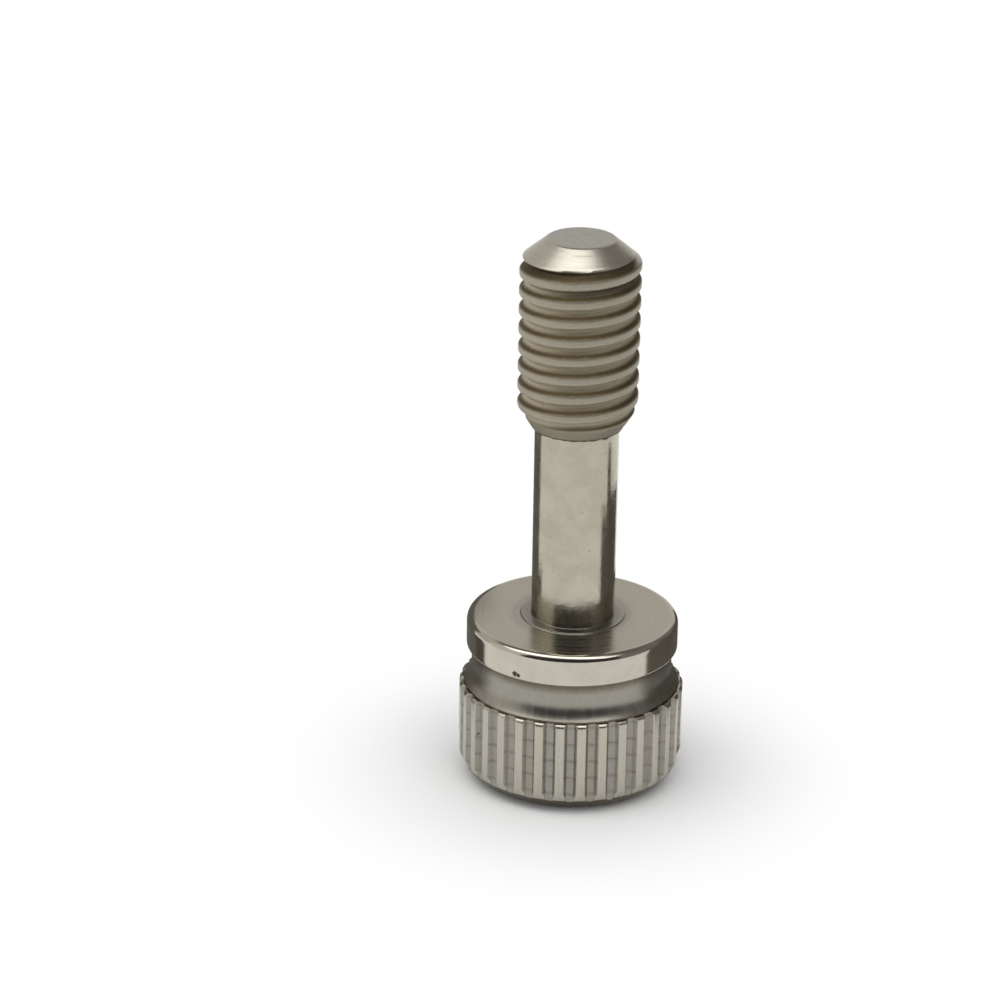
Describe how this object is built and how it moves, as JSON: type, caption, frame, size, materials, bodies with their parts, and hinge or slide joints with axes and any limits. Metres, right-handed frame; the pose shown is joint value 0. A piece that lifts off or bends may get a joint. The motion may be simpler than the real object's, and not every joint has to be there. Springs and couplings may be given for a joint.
{
  "type": "captive thumb screw",
  "caption": "Slotted thumb screw with a straight-knurled round head, a collar, a thin plain shank and a metric thread at the tip; turned by hand or driver.",
  "frame": {"origin": "centre of the head's flat end face, which the screw stands on", "axes": "+Z along the screw's axis from the head to the tip of the thread; +X along the screwdriver slot"},
  "size_m": [0.0093, 0.0092, 0.0234],
  "materials": {
    "metal": "satin bright nickel or plain stainless, turned"
  },
  "bodies": {
    "root": {"thumb_screw": "metal"}
  },
  "joints": []
}
